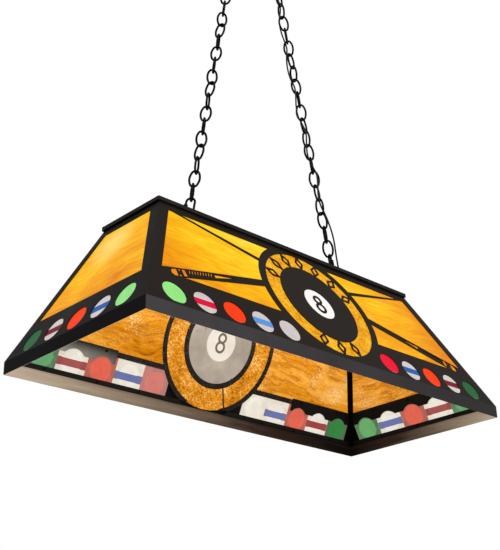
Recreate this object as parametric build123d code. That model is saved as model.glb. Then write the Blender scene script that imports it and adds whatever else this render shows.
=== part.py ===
from build123d import *
import os
from math import atan2, cos, degrees, hypot, pi, radians, sin, sqrt, tan

os.makedirs("parts", exist_ok=True)

# Pool table lamp: a four-sided shade of laser-cut steel panels backed with art glass, hung by two
# chains from one ring under a ceiling canopy.
# Millimetres. The origin is the middle of the mounting crossbar's face against the ceiling, +Z is
# up, +X runs along the shade, and the shade's near long side faces -Y.

# ---- Driving dimensions ----
LENGTH = 1016.0          # shade, outside the skirt, along X
WIDTH = 442.0            # shade, outside the skirt, along Y
SKIRT_HEIGHT = 26.0      # vertical band round the bottom
RISE = 277.5             # height of the sloping panels
INSET = 132.4            # how far each sloping panel leans in over that rise
DROP = 1700.0            # ceiling to the shade's bottom edge
SHEET = 1.5              # steel sheet of panels, skirt and cap
GLASS = 3.0              # art glass

CAP_EDGE = 8.0           # depth of the cap's turned-down rim
CAP_OVERHANG = 4.5       # rim beyond the panels
STILE = 26.0             # steel left beside each hip
WINDOW_BOTTOM = 83.0     # up the slope
WINDOW_TOP = 287.0

MEDALLION_UP = 154.0     # centre of the medallion, up the slope
RING_OUTER = 160.0
RING_WINDOW_OUTER = 142.0
RING_WINDOW_INNER = 104.0
NUMBER_HOLE = 41.0       # radius of the round window behind the numeral
BALL_RADIUS = 26.0
BALL_UP = 30.5
BALL_FIRST = 148.2       # innermost ball of a long panel, from its middle
BALL_PITCH = 71.6        # long panels
END_BALL_PITCH = 73.3

HANGER_X = 228.0         # each hanger eye, from the middle
HANGER_UP = 352.0        # tilt axis above the bottom edge
APEX_UP = 1570.0         # where the two chains meet the ring, above the bottom edge
CHAIN_LINKS = 33
CHAIN_WIRE = 5.0
CHAIN_WIDTH = 28.0
CHAIN_BEND = 8.8         # centre line radius of a chain link's ends; its sides bow out between them
CHAIN_TWIST = 107.45     # each link is turned this much from the one above
CHAIN_TURN = 37.65       # the right chain below its top links is turned this much further
CORD = 4.0               # supply cord diameter

RING_RADIUS = 26.0       # master ring, centre line
RING_WIRE = 7.0
LOOP_RADIUS = 11.0       # canopy loop eye, centre line
LOOP_WIRE = 7.0
TOP_LINK_SPREAD = 9.0    # the two top links sit this far each side of the ring's lowest point
EYE_RADIUS = 11.0        # hanger eyes, centre line
EYE_WIRE = 6.0
EYE_TURN = 15.0          # each hanger eye is screwed in this much off the long way, to face its link
QUICK_HALF = 27.0        # quick link, centre line half length
QUICK_SIDE = 9.5         # quick link, centre line half width
QUICK_WIRE = 5.0
RING_GAP = 0.45          # clearance where two rings hook together

COLLAR_RADIUS = 15.0
CANOPY_RADIUS = 70.0
CANOPY_DEPTH = 42.0
BOX_SCREW_SPACING = 88.9     # outlet box screws
CORD_EXIT = (14.0, 36.0)     # bushing in the canopy, X and Y


SOCKET_X = (-250.0, 0.0, 250.0)
SOCKET_RADIUS = 19.0
SOCKET_MOUTH_UP = 240.0
BULB_TOP_UP = 272.0

# ---- Worked out from them ----
CHAIN_LEAN = atan2(HANGER_X, APEX_UP - HANGER_UP)
EYE_CENTRE = HANGER_UP - EYE_RADIUS * cos(CHAIN_LEAN)
CHAIN_END_X = HANGER_X - EYE_RADIUS * sin(CHAIN_LEAN)      # the link bears where the eye faces it
SLOPE = hypot(RISE, INSET)
LEAN_IN = INSET / SLOPE
LEAN_UP = RISE / SLOPE
CAP_UNDER = SKIRT_HEIGHT + RISE          # bottom of the cap's rim
CAP_TOP = CAP_UNDER + CAP_EDGE
PLATE_UNDER = CAP_TOP - SHEET            # underside of the cap's plate, where the panels end
APEX = APEX_UP - DROP
RING_CENTRE = APEX + sqrt(RING_RADIUS ** 2 - TOP_LINK_SPREAD ** 2)
LOOP_LOW = RING_CENTRE + RING_RADIUS - (RING_WIRE + LOOP_WIRE) / 2 - RING_GAP
SIDES = {"front": (0, LENGTH / 2, WIDTH / 2), "right": (90, WIDTH / 2, LENGTH / 2),
         "back": (180, LENGTH / 2, WIDTH / 2), "left": (270, WIDTH / 2, LENGTH / 2)}


def save(name, shapes):
    """Write one node, from one shape or from a list of separate solids."""
    shapes = shapes if isinstance(shapes, list) else [shapes]
    solids = [solid for shape in shapes for solid in shape.solids()]
    export_step(solids[0] if len(solids) == 1 else Compound(solids), f"parts/{name}.step")


def save_shade(name, shapes):
    """The shade is drawn with its bottom edge at height 0, and hangs DROP below the ceiling."""
    shapes = shapes if isinstance(shapes, list) else [shapes]
    save(name, [Pos(0, 0, -DROP) * shape for shape in shapes])


def rod(radius, low, high, x=0, y=0):
    return Pos(x, y, (low + high) / 2) * Cylinder(radius, high - low)


def tube(outer, inner, low, high, x=0, y=0):
    return rod(outer, low, high, x, y) - rod(inner, low - 1, high + 1, x, y)


def nut(across_flats, hole, low, high, x=0, y=0):
    hexagon = RegularPolygon(across_flats / sqrt(3), 6)
    return Pos(x, y, low) * extrude(hexagon, high - low) - rod(hole, low - 1, high + 1, x, y)


# ---- Shade: flat work on the sloping sides ----
# Each side is drawn as the front one: u along the bottom edge, v up the slope from the skirt,
# w out of the face. It is cut to its corner of the shade and turned to its own side.

def side_zone(side):
    """The room one side may fill: mitred to its neighbours along the hips, skirt to cap plate."""
    angle, half, distance = SIDES[side]
    deep = WIDTH / 2 - 5
    plan = Polygon((-half, -distance), (half, -distance), (half - deep, deep - distance),
                   (deep - half, deep - distance), align=None)
    return Pos(0, 0, SKIRT_HEIGHT) * extrude(plan, PLATE_UNDER - SKIRT_HEIGHT, dir=(0, 0, 1))


def on_side(side, sketch, w_low, w_high):
    angle, half, distance = SIDES[side]
    face = Plane(origin=(0, -distance, SKIRT_HEIGHT), x_dir=(1, 0, 0), z_dir=(0, -LEAN_UP, LEAN_IN))
    slab = face.location * (Pos(0, 0, w_low) * extrude(sketch, w_high - w_low, dir=(0, 0, 1)))
    return Rot(0, 0, angle) * (slab & side_zone(side))


def band(side, low, high, margin):
    """The trapezium between two heights up the slope, margin in from both hips."""
    half = SIDES[side][1] - margin
    return Polygon((-half + LEAN_IN * low, low), (half - LEAN_IN * low, low),
                   (half - LEAN_IN * high, high), (-half + LEAN_IN * high, high), align=None)


def disc(radius, u=0.0, v=MEDALLION_UP):
    return Pos(u, v) * Circle(radius)


def annulus(outer, inner, v=MEDALLION_UP):
    return disc(outer, v=v) - disc(inner, v=v)


# The crossed cues. Each runs from its butt low at one end, behind the medallion, to its tip at the
# far top corner. Points on a cue are given by the distance from the middle of the panel towards
# the butt, and by the share of the cue's half thickness above its centre line.
CUE_MIDDLE_UP = 198.0
CUE_FALL = 0.26
CUE_BUTT = 447.0
CUE_TIP = -352.0
CUE_MIDDLE_THICK = 13.0
CUE_TAPER = 0.0272


def on_cue(along, share=0.0):
    half_thick = (CUE_MIDDLE_THICK + CUE_TAPER * along) / 2
    return (along, CUE_MIDDLE_UP - CUE_FALL * along + share * half_thick)


def cue_shape(*stations):
    """A closed outline from (along, share) stations."""
    return Polygon(*[on_cue(along, share) for along, share in stations], align=None)


def cue_bar():
    return cue_shape((CUE_TIP, -1), (CUE_TIP, 1), (CUE_BUTT, 1), (CUE_BUTT, -1))


BUTT_CAP = (405.0, 421.0)
BUTT_RING = (394.0, 403.5)
BUTT_BAND = (381.0, 392.0)
WRAP = (310.0, 376.0)
WRAP_SLOTS = 9
POINT_SLIT = (243.0, 305.0)


def cue_windows():
    """Openings in one cue's butt: end cap, ring, band, the slots of the wrap and the long point."""
    inner, outer = BUTT_CAP
    cap = cue_shape((inner, -0.8), (inner, 0.8), (outer - 6, 0.75), (outer, 0.3), (outer, -0.3),
                    (outer - 6, -0.75))
    inner, outer = BUTT_RING
    middle = (inner + outer) / 2
    ring = cue_shape((inner + 0.8, 0.8), (outer - 0.8, 0.8), (middle, 0.18))
    ring += cue_shape((inner + 0.8, -0.8), (outer - 0.8, -0.8), (middle, -0.18))
    inner, outer = BUTT_BAND
    windows = cap + ring + cue_shape((inner, -0.75), (inner + 2, 0.8), (outer, 0.8), (outer - 1, -0.75))
    step = (WRAP[1] - WRAP[0]) / WRAP_SLOTS
    for slot in range(WRAP_SLOTS):
        along = WRAP[0] + (slot + 0.5) * step
        windows += cue_shape((along - 3.2, 0.78), (along, 0.78), (along + 2.6, -0.1), (along - 0.4, -0.1))
    inner, outer = POINT_SLIT
    return windows + cue_shape((inner, 0.16), (outer, 0.52), (outer, -0.3))


def both_ways(sketch):
    return sketch + mirror(sketch, Plane.YZ)


# Diamond sights bridge the medallion's ring window and tie the middle disc to the ring.
SIGHT_HALF_WIDTH = 12.5
SIGHT_STROKE = 5.0
SIGHT_ANGLES = [90 + 21.5 * step for step in range(-3, 4)] + [270 + 22.0 * step for step in (-1, 0, 1)]


def sight(angle):
    reach = (RING_WINDOW_OUTER - RING_WINDOW_INNER) / 2 + 2.5
    outer = Polygon((-reach, 0), (0, SIGHT_HALF_WIDTH), (reach, 0), (0, -SIGHT_HALF_WIDTH))
    shrink = SIGHT_STROKE * hypot(reach, SIGHT_HALF_WIDTH) / (reach * SIGHT_HALF_WIDTH)
    hollow = scale(outer, by=1 - shrink)
    middle = (RING_WINDOW_OUTER + RING_WINDOW_INNER) / 2
    return Pos(0, MEDALLION_UP) * (Rot(0, 0, angle) * (Pos(middle, 0) * (outer - hollow)))


def ball_places(side):
    if side in ("left", "right"):
        return [END_BALL_PITCH * step for step in range(-2, 3)]
    inner_to_outer = [BALL_FIRST + BALL_PITCH * step for step in range(5)]
    return [-u for u in reversed(inner_to_outer)] + inner_to_outer


def ball_holes(side):
    holes = Sketch()
    for u in ball_places(side):
        holes += disc(BALL_RADIUS, u, BALL_UP)
    return holes


PANEL_REACH = SLOPE * (PLATE_UNDER - SKIRT_HEIGHT) / RISE + 2      # trimmed flat under the cap


def long_panel(side):
    field = band(side, WINDOW_BOTTOM, WINDOW_TOP, STILE)
    windows = field - disc(RING_OUTER) - both_ways(cue_bar())
    ring_window = annulus(RING_WINDOW_OUTER, RING_WINDOW_INNER)
    for angle in SIGHT_ANGLES:
        ring_window -= sight(angle)
    windows += ring_window + disc(NUMBER_HOLE) + both_ways(cue_windows()) + ball_holes(side)
    return on_side(side, band(side, 0, PANEL_REACH, 0) - windows, -SHEET, 0)


def end_panel(side):
    windows = band(side, WINDOW_BOTTOM, WINDOW_TOP, STILE - 2) + ball_holes(side)
    return on_side(side, band(side, 0, PANEL_REACH, 0) - windows, -SHEET, 0)


for side in ("front", "back"):
    save_shade(f"panel_{side}", long_panel(side))
for side in ("left", "right"):
    save_shade(f"panel_{side}", end_panel(side))


# The numeral is a loose cut piece on the round window: a small loop over a larger one.
NUMERAL_STROKE = 6.0
NUMERAL_LOOPS = ((12.5, 11.5), (14.5, -12.0))        # outer radius, height above the centre


def numeral():
    shape = Sketch()
    for radius, up in NUMERAL_LOOPS:
        shape += annulus(radius, radius - NUMERAL_STROKE, MEDALLION_UP + up)
    return shape


save_shade("numerals", [on_side(side, numeral(), -SHEET, 0) for side in ("front", "back")])


def skirt(side):
    angle, half, distance = SIDES[side]
    plan = Polygon((-half, -distance), (half, -distance), (half - SHEET, SHEET - distance),
                   (SHEET - half, SHEET - distance), align=None)
    return Rot(0, 0, angle) * extrude(plan, SKIRT_HEIGHT, dir=(0, 0, 1))


for side in SIDES:
    save_shade(f"skirt_{side}", skirt(side))

# Corner angles: a steel strip on each side of every hip, welded into one angle per corner.
ANGLE_LEG = 12.0
ANGLE_SHEET = 1.5


def angle_leg(side, hand):
    half = SIDES[side][1]
    top = CAP_UNDER / LEAN_UP - SKIRT_HEIGHT - 8
    strip = Polygon((half, 4), (half - ANGLE_LEG, 4), (half - ANGLE_LEG - LEAN_IN * top, top),
                    (half - LEAN_IN * top, top), align=None)
    if hand < 0:
        strip = mirror(strip, Plane.YZ)
    return on_side(side, strip, -SHEET - ANGLE_SHEET, -SHEET)


CORNERS = (("front", "right"), ("right", "back"), ("back", "left"), ("left", "front"))
save_shade("corner_angles", [angle_leg(one, 1) + angle_leg(other, -1) for one, other in CORNERS])

# ---- Glass, flat against the backs of the panels ----
GLASS_OUT = -SHEET
GLASS_IN = -SHEET - GLASS
GLASS_MARGIN = 14.0
GLASS_JOINT = 0.6
AMBER_LOW = 76.5
AMBER_HIGH = 295.0
RING_GLASS_RADIUS = 151.0
OPAL_RADIUS = 100.3
BALL_GLASS_LOW = 8.5
BALL_GLASS_HIGH = 69.5
STRIPE_LOW = 22.0
STRIPE_HIGH = 39.0
RING_JOINTS = (15.0, 135.0, 247.0)


def glass(side, sketch):
    return on_side(side, sketch, GLASS_IN, GLASS_OUT)


def amber(side):
    sheet = band(side, AMBER_LOW, AMBER_HIGH, GLASS_MARGIN)
    if side in ("front", "back"):
        sheet -= disc(RING_GLASS_RADIUS + GLASS_JOINT)
    return glass(side, sheet)


def ring_glass(side):
    shape = annulus(RING_GLASS_RADIUS, OPAL_RADIUS + GLASS_JOINT)
    shape &= band(side, 2.5, AMBER_HIGH, 0)
    for angle in RING_JOINTS:
        shape -= Pos(0, MEDALLION_UP) * (Rot(0, 0, angle) * (Pos(125, 0) * Rectangle(90, GLASS_JOINT)))
    return glass(side, shape)


save_shade("amber_glass_long", [amber("front"), amber("back")])
save_shade("amber_glass_ends", [amber("left"), amber("right")])
save_shade("ring_glass", [ring_glass("front"), ring_glass("back")])
save_shade("opal_discs", [glass(side, disc(OPAL_RADIUS)) for side in ("front", "back")])

# Ball glass. A plain ball is one rectangle of glass. A striped one is three strips.
LONG_BALLS = ("light_green", "red", "orange", "light_blue", "white",
              "crimson", "blue", "orange", "maroon", "dark_green")
END_BALLS = ("dark_green", "maroon", "orange", "blue", "light_green")
STRIPES = ("red", "maroon", "light_blue", "blue")
BALL_NODES = {"light_green": "ball_glass_light_green", "dark_green": "ball_glass_dark_green",
              "orange": "ball_glass_orange", "crimson": "ball_glass_crimson",
              "white": "ball_glass_white", "red": "ball_glass_red", "maroon": "ball_glass_red",
              "light_blue": "ball_glass_blue", "blue": "ball_glass_blue"}


def ball_strip(side, u, low, high):
    pitch = BALL_PITCH if side in ("front", "back") else END_BALL_PITCH
    shape = Pos(u, (low + high) / 2) * Rectangle(pitch - GLASS_JOINT, high - low)
    shape &= band(side, low - 1, high + 1, GLASS_MARGIN)
    if side in ("front", "back"):
        shape -= disc(RING_GLASS_RADIUS + GLASS_JOINT)
    return glass(side, shape)


ball_glass = {node: [] for node in BALL_NODES.values()}
for side in SIDES:
    colours = LONG_BALLS if side in ("front", "back") else END_BALLS
    for colour, u in zip(colours, ball_places(side)):
        if colour in STRIPES:
            ball_glass["ball_glass_white"] += [
                ball_strip(side, u, BALL_GLASS_LOW, STRIPE_LOW),
                ball_strip(side, u, STRIPE_HIGH, BALL_GLASS_HIGH)]
            pieces = [ball_strip(side, u, STRIPE_LOW + GLASS_JOINT, STRIPE_HIGH - GLASS_JOINT)]
        else:
            pieces = [ball_strip(side, u, BALL_GLASS_LOW, BALL_GLASS_HIGH)]
        ball_glass[BALL_NODES[colour]] += pieces
for node, pieces in ball_glass.items():
    save_shade(node, pieces)

# Retainers: steel strips that clamp the glass along its edges, screwed to the panels.
RETAINER_BANDS = ((2.0, 11.5), (50.0, 80.0), (290.0, 301.0))
RETAINER_SHEET = 1.5
RETAINER_CLEAR = 161.5       # from the medallion's centre
SCALLOP_RADIUS = 30.5        # the middle strip is cut back round each ball
MIDDLE_STRIP_START = 262.0   # on the long sides, from the middle
SCREW_UP = (5.2, 73.0, 298.2)
LONG_SCREWS = ((184.0, 292.0, 420.0), (292.0, 420.0), (60.0, 200.0, 330.0))
END_SCREWS = ((0.0, 110.0), (0.0, 110.0), (45.0,))
SCREW_RADIUS = 1.5

# Lead seams over the medallion's glass joints, and between the rows of glass beside it.
SEAM = 1.0
THIN_SEAM = 3.0
OPAL_SEAM = (90.0, 102.5)    # inner and outer radius
RING_SEAM = (148.5, 160.0)
ROW_SEAM = (65.0, 77.0)      # low and high edge


def seams(side):
    """Only the long sides have a medallion. The glass of the ends is held by the retainers alone."""
    row = band(side, *ROW_SEAM, 0) & Rectangle(2 * MIDDLE_STRIP_START - 1, 2 * ROW_SEAM[1])
    shape = row - disc(RING_SEAM[1] - 1)
    shape += annulus(RING_SEAM[1], RING_SEAM[0])
    shape += annulus(OPAL_SEAM[1], OPAL_SEAM[0])
    for angle in RING_JOINTS:
        joint = Pos(125.5, 0) * Rectangle(46, THIN_SEAM)
        shape += Pos(0, MEDALLION_UP) * (Rot(0, 0, angle) * joint)
    shape &= band(side, RETAINER_BANDS[0][1], RETAINER_BANDS[2][0], GLASS_MARGIN)
    return on_side(side, shape, GLASS_IN - SEAM, GLASS_IN)


def screw_places(side):
    rows = LONG_SCREWS if side in ("front", "back") else END_SCREWS
    places = []
    for v, row in zip(SCREW_UP, rows):
        places += [(hand * u, v) for u in row for hand in ((1, -1) if u else (1,))]
    return places


def retainers(side):
    shape = Sketch()
    long_side = side in ("front", "back")
    for row, (low, high) in enumerate(RETAINER_BANDS):
        strip = band(side, low, high, GLASS_MARGIN)
        if row == 0 and long_side:
            strip -= disc(RETAINER_CLEAR)
        if row == 1:
            for u in ball_places(side):
                strip -= disc(SCALLOP_RADIUS, u, BALL_UP)
            if long_side:
                strip -= Pos(0, high) * Rectangle(2 * MIDDLE_STRIP_START, 4 * high)
        shape += strip
    for u, v in screw_places(side):
        shape -= disc(SCREW_RADIUS + 0.1, u, v)
    return on_side(side, shape, GLASS_IN - RETAINER_SHEET, GLASS_IN)


def retainer_screws(side):
    head_face = GLASS_IN - RETAINER_SHEET
    screws = []
    for u, v in screw_places(side):
        shank = on_side(side, disc(SCREW_RADIUS, u, v), head_face, GLASS_OUT)
        screws.append(shank + on_side(side, disc(2.8, u, v), head_face - 2.0, head_face))
    return screws


save_shade("lead_seams", [seams(side) for side in ("front", "back")])
save_shade("glass_retainers", [retainers(side) for side in SIDES])
save_shade("retainer_screws", [screw for side in SIDES for screw in retainer_screws(side)])

# ---- Cap, hangers and the lamp holders under it ----
CAP_HALF_LENGTH = LENGTH / 2 - INSET + CAP_OVERHANG
CAP_HALF_WIDTH = WIDTH / 2 - INSET + CAP_OVERHANG
EYE_SHANK = 4.0
INLET_X = 264.0
INLET_HOLE = 6.0
VENT_COUNT = 9
VENT_PITCH = 72.0
VENT_Y = 52.0


def top_cap():
    middle = (CAP_UNDER + CAP_TOP) / 2
    cap = Pos(0, 0, middle) * Box(2 * CAP_HALF_LENGTH, 2 * CAP_HALF_WIDTH, CAP_EDGE)
    cap = fillet(cap.edges().filter_by(Axis.Z), 3.0)
    cap -= Pos(0, 0, middle - SHEET) * Box(2 * (CAP_HALF_LENGTH - SHEET), 2 * (CAP_HALF_WIDTH - SHEET),
                                           CAP_EDGE)
    vent = extrude(SlotOverall(50, 6), 10)
    for place in range(VENT_COUNT):
        for y in (-VENT_Y, VENT_Y):
            cap -= Pos((place - (VENT_COUNT - 1) / 2) * VENT_PITCH, y, PLATE_UNDER - 4) * vent
    for x in (-HANGER_X, HANGER_X):
        cap -= rod(EYE_SHANK + 0.1, CAP_UNDER, CAP_TOP + 1, x)
    return cap - rod(INLET_HOLE, CAP_UNDER, CAP_TOP + 1, INLET_X)


save_shade("top_cap", top_cap())

STRAP_WIDTH = 25.0
STRAP_THICK = 3.0
STRAP_UNDER = PLATE_UNDER - STRAP_THICK
CHANNEL_LENGTH = 620.0
CHANNEL_HALF = 20.0
CHANNEL_SHEET = 1.2
CHANNEL_LOW = 293.3
LIP = 12.0
LIP_SCREW_Y = CHANNEL_HALF + LIP / 2
LIP_SCREW_RADIUS = 2.0


def hanger_strap(x):
    strap = Pos(x, 0, STRAP_UNDER + STRAP_THICK / 2) * Box(STRAP_WIDTH, 158, STRAP_THICK)
    strap -= rod(EYE_SHANK + 0.1, STRAP_UNDER - 1, PLATE_UNDER + 1, x)
    for y in (-LIP_SCREW_Y, LIP_SCREW_Y):
        strap -= rod(LIP_SCREW_RADIUS + 0.1, STRAP_UNDER - 1, PLATE_UNDER + 1, x, y)
    return strap


def socket_channel():
    """A hat-shaped wire channel: web below, lips turned out under the straps."""
    section = Polygon((-CHANNEL_HALF - LIP, STRAP_UNDER), (-CHANNEL_HALF, STRAP_UNDER),
                      (-CHANNEL_HALF, CHANNEL_LOW + CHANNEL_SHEET),
                      (CHANNEL_HALF, CHANNEL_LOW + CHANNEL_SHEET),
                      (CHANNEL_HALF, STRAP_UNDER), (CHANNEL_HALF + LIP, STRAP_UNDER),
                      (CHANNEL_HALF + LIP, STRAP_UNDER - CHANNEL_SHEET),
                      (CHANNEL_HALF + CHANNEL_SHEET, STRAP_UNDER - CHANNEL_SHEET),
                      (CHANNEL_HALF + CHANNEL_SHEET, CHANNEL_LOW),
                      (-CHANNEL_HALF - CHANNEL_SHEET, CHANNEL_LOW),
                      (-CHANNEL_HALF - CHANNEL_SHEET, STRAP_UNDER - CHANNEL_SHEET),
                      (-CHANNEL_HALF - LIP, STRAP_UNDER - CHANNEL_SHEET), align=None)
    upright = Plane(origin=(-CHANNEL_LENGTH / 2, 0, 0), x_dir=(0, 1, 0), z_dir=(1, 0, 0))
    channel = upright.location * extrude(section, CHANNEL_LENGTH, dir=(0, 0, 1))
    for x in SOCKET_X:
        channel -= rod(NIPPLE_RADIUS + 0.1, CHANNEL_LOW - 1, CHANNEL_LOW + 3, x)
    for x in (-HANGER_X, HANGER_X):
        for y in (-LIP_SCREW_Y, LIP_SCREW_Y):
            channel -= rod(LIP_SCREW_RADIUS + 0.1, STRAP_UNDER - 3, STRAP_UNDER + 1, x, y)
    return channel


def channel_screw(x, y):
    head = rod(3.8, STRAP_UNDER - CHANNEL_SHEET - 2.5, STRAP_UNDER - CHANNEL_SHEET, x, y)
    return head + rod(LIP_SCREW_RADIUS, STRAP_UNDER - CHANNEL_SHEET - 1, PLATE_UNDER, x, y)


NIPPLE_RADIUS = 5.0
NIPPLE_BORE = 3.0
save_shade("hanger_straps", [hanger_strap(-HANGER_X), hanger_strap(HANGER_X)])
save_shade("socket_channel", socket_channel())
save_shade("channel_screws", [channel_screw(x, y) for x in (-HANGER_X, HANGER_X)
                              for y in (-LIP_SCREW_Y, LIP_SCREW_Y)])

# Hanger eyes: an eye bolt through the cap and the strap, nutted above and below.
WASHER = 1.6
EYE_NUT = 6.4


def eye_bolt(x):
    turn = -EYE_TURN if x > 0 else EYE_TURN
    ring = Pos(x, 0, EYE_CENTRE) * (Rot(0, 0, turn) * (Rot(90, 0, 0) * Torus(EYE_RADIUS, EYE_WIRE / 2)))
    shank_low = STRAP_UNDER - EYE_NUT - 4
    return ring + rod(EYE_SHANK, shank_low, EYE_CENTRE - EYE_RADIUS, x)


eye_nuts = []
for x in (-HANGER_X, HANGER_X):
    eye_nuts.append(nut(13, EYE_SHANK, STRAP_UNDER - EYE_NUT, STRAP_UNDER, x))
    eye_nuts.append(nut(13, EYE_SHANK, CAP_TOP + WASHER, CAP_TOP + WASHER + EYE_NUT - 1, x))
save_shade("eye_bolts", [eye_bolt(-HANGER_X), eye_bolt(HANGER_X)])
save_shade("eye_nuts", eye_nuts)
save_shade("eye_washers", [tube(11, EYE_SHANK + 0.1, CAP_TOP, CAP_TOP + WASHER, x)
                           for x in (-HANGER_X, HANGER_X)])

# Lamp holders and bulbs.
SOCKET_CAVITY = 14.0
CAVITY_TOP_UP = 280.0
SHELL_BORE = 13.18
BASE_RADIUS = 13.1
BASE_HEIGHT = 26.0
BULB_RADIUS = 30.0
BULB_LENGTH = 104.0
BULB_GLASS = 0.8
NECK_RADIUS = 12.8
NECK_LENGTH = 8.0


def socket(x):
    body = rod(SOCKET_RADIUS, SOCKET_MOUTH_UP, CHANNEL_LOW, x)
    body = chamfer(body.edges().filter_by(GeomType.CIRCLE).sort_by(Axis.Z)[-1], 4.0)
    body -= rod(SOCKET_CAVITY, SOCKET_MOUTH_UP - 1, CAVITY_TOP_UP, x)
    return body - rod(NIPPLE_RADIUS + 0.1, CAVITY_TOP_UP - 1, CHANNEL_LOW + 1, x)


def envelope(inset, raise_top):
    """A pear-shaped solid of revolution: neck up, round end down."""
    neck_top = BULB_TOP_UP - BASE_HEIGHT + raise_top
    neck_low = BULB_TOP_UP - BASE_HEIGHT - NECK_LENGTH
    neck = NECK_RADIUS - inset
    wide = BULB_RADIUS - inset
    centre_up = BULB_TOP_UP - BULB_LENGTH + BULB_RADIUS
    profile = Polyline((0, neck_top), (neck, neck_top), (neck + 0.5, neck_low))
    profile += Spline((neck + 0.5, neck_low), (wide, centre_up), tangents=((0.15, -1), (0, -1)))
    diagonal = wide * sqrt(0.5)
    profile += ThreePointArc((wide, centre_up), (diagonal, centre_up - diagonal), (0, centre_up - wide))
    profile += Line((0, centre_up - wide), (0, neck_top))
    return revolve(Plane.XZ * make_face(profile), Axis.Z)


def bulb(x):
    """Hollow glass envelope and screw base, two solids."""
    base_low = BULB_TOP_UP - BASE_HEIGHT
    base = rod(BASE_RADIUS, base_low, BULB_TOP_UP) + rod(5, BULB_TOP_UP, BULB_TOP_UP + 2)
    return [Pos(x, 0, 0) * (envelope(0, 0) - envelope(BULB_GLASS, 1)), Pos(x, 0, 0) * base]


for number, x in enumerate(SOCKET_X, start=1):
    save_shade(f"socket_{number}", socket(x))
    save_shade(f"bulb_{number}", bulb(x))
save_shade("socket_shells", [tube(SOCKET_CAVITY - 0.05, SHELL_BORE, SOCKET_MOUTH_UP + 7,
                                  SOCKET_MOUTH_UP + 36, x) for x in SOCKET_X])
save_shade("socket_nipples", [tube(NIPPLE_RADIUS, NIPPLE_BORE, CAVITY_TOP_UP, CHANNEL_LOW + 6, x)
                              for x in SOCKET_X])

# Cord bushing in the cap, junction block in the channel, and the two wires along it.
BLOCK_LENGTH = 22.0
BLOCK_HALF = 16.0
BLOCK_LOW = CHANNEL_LOW + CHANNEL_SHEET
BLOCK_HIGH = BLOCK_LOW + 9
BLOCK_X = INLET_X + 6
WIRE_RADIUS = 1.2
WIRE_Y = 13.5
WIRE_END = -262.0
bushing = tube(INLET_HOLE, CORD / 2 + 0.1, PLATE_UNDER - 2, CAP_TOP, INLET_X)
bushing += tube(INLET_HOLE + 3, CORD / 2 + 0.1, CAP_TOP, CAP_TOP + 2.5, INLET_X)
save_shade("cap_bushing", bushing)
block = Box(BLOCK_LENGTH, 2 * BLOCK_HALF, BLOCK_HIGH - BLOCK_LOW)
block = Pos(BLOCK_X, 0, (BLOCK_LOW + BLOCK_HIGH) / 2) * block
block -= rod(CORD / 2 + 0.05, BLOCK_HIGH - 4, BLOCK_HIGH + 1, INLET_X)
save_shade("junction_block", block)


def channel_wire(hand):
    """One wire beside the row of holders, straight into the end of the junction block."""
    length = BLOCK_X - BLOCK_LENGTH / 2 - WIRE_END
    middle = Pos(WIRE_END + length / 2, hand * WIRE_Y, BLOCK_LOW + WIRE_RADIUS + 1)
    return middle * (Rot(0, 90, 0) * Cylinder(WIRE_RADIUS, length))


save_shade("channel_wires", [channel_wire(-1), channel_wire(1)])

# ---- Ceiling group ----
BAR_THICK = 2.5
COLLAR_TOP = -24.0
COLLAR_LOW = -58.0
CANOPY_SHEET = 1.2
CANOPY_FLAT = 46.0
RING_NUT_HEIGHT = 7.0
LOOP_CENTRE = LOOP_LOW + LOOP_RADIUS

crossbar = Pos(0, 0, -BAR_THICK / 2) * Box(112, 20, BAR_THICK)
crossbar -= rod(NIPPLE_RADIUS + 0.1, -BAR_THICK - 1, 1)
for hand in (-1, 1):
    crossbar -= rod(2.5, -BAR_THICK - 1, 1, hand * BOX_SCREW_SPACING / 2)
save("ceiling_crossbar", crossbar)
save("stem_nipple", tube(NIPPLE_RADIUS, NIPPLE_BORE, -44, 0))
save("stem_locknut", nut(15, NIPPLE_RADIUS + 0.05, -BAR_THICK - 4, -BAR_THICK))


def canopy_loop():
    collar = rod(COLLAR_RADIUS, COLLAR_LOW, COLLAR_TOP) - rod(NIPPLE_RADIUS + 0.05, -46, COLLAR_TOP + 1)
    neck = rod(6, LOOP_CENTRE + LOOP_RADIUS - 1, COLLAR_LOW)
    eye = Pos(0, 0, LOOP_CENTRE) * (Rot(90, 0, 0) * Torus(LOOP_RADIUS, LOOP_WIRE / 2))
    return collar + neck + eye


save("canopy_loop", canopy_loop())


def canopy():
    """A spun dish, open at the ceiling, with a flat bottom round the collar."""
    def dish(rim, flat, bottom):
        bend = (rim - (rim - flat) * 0.26, bottom * 0.62)
        edge = Polyline((0, 0), (rim, 0), (rim, -5))
        edge += ThreePointArc((rim, -5), bend, (flat, bottom))
        edge += Polyline((flat, bottom), (0, bottom), (0, 0))
        return revolve(Plane.XZ * make_face(edge), Axis.Z)
    shell = dish(CANOPY_RADIUS, CANOPY_FLAT, -CANOPY_DEPTH)
    shell -= dish(CANOPY_RADIUS - CANOPY_SHEET, CANOPY_FLAT - 0.5, CANOPY_SHEET - CANOPY_DEPTH)
    shell -= rod(COLLAR_RADIUS + 0.2, -CANOPY_DEPTH - 1, 1 - CANOPY_DEPTH + CANOPY_SHEET)
    return shell - rod(4.5, -CANOPY_DEPTH - 1, 1 - CANOPY_DEPTH + CANOPY_SHEET, *CORD_EXIT)


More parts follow.
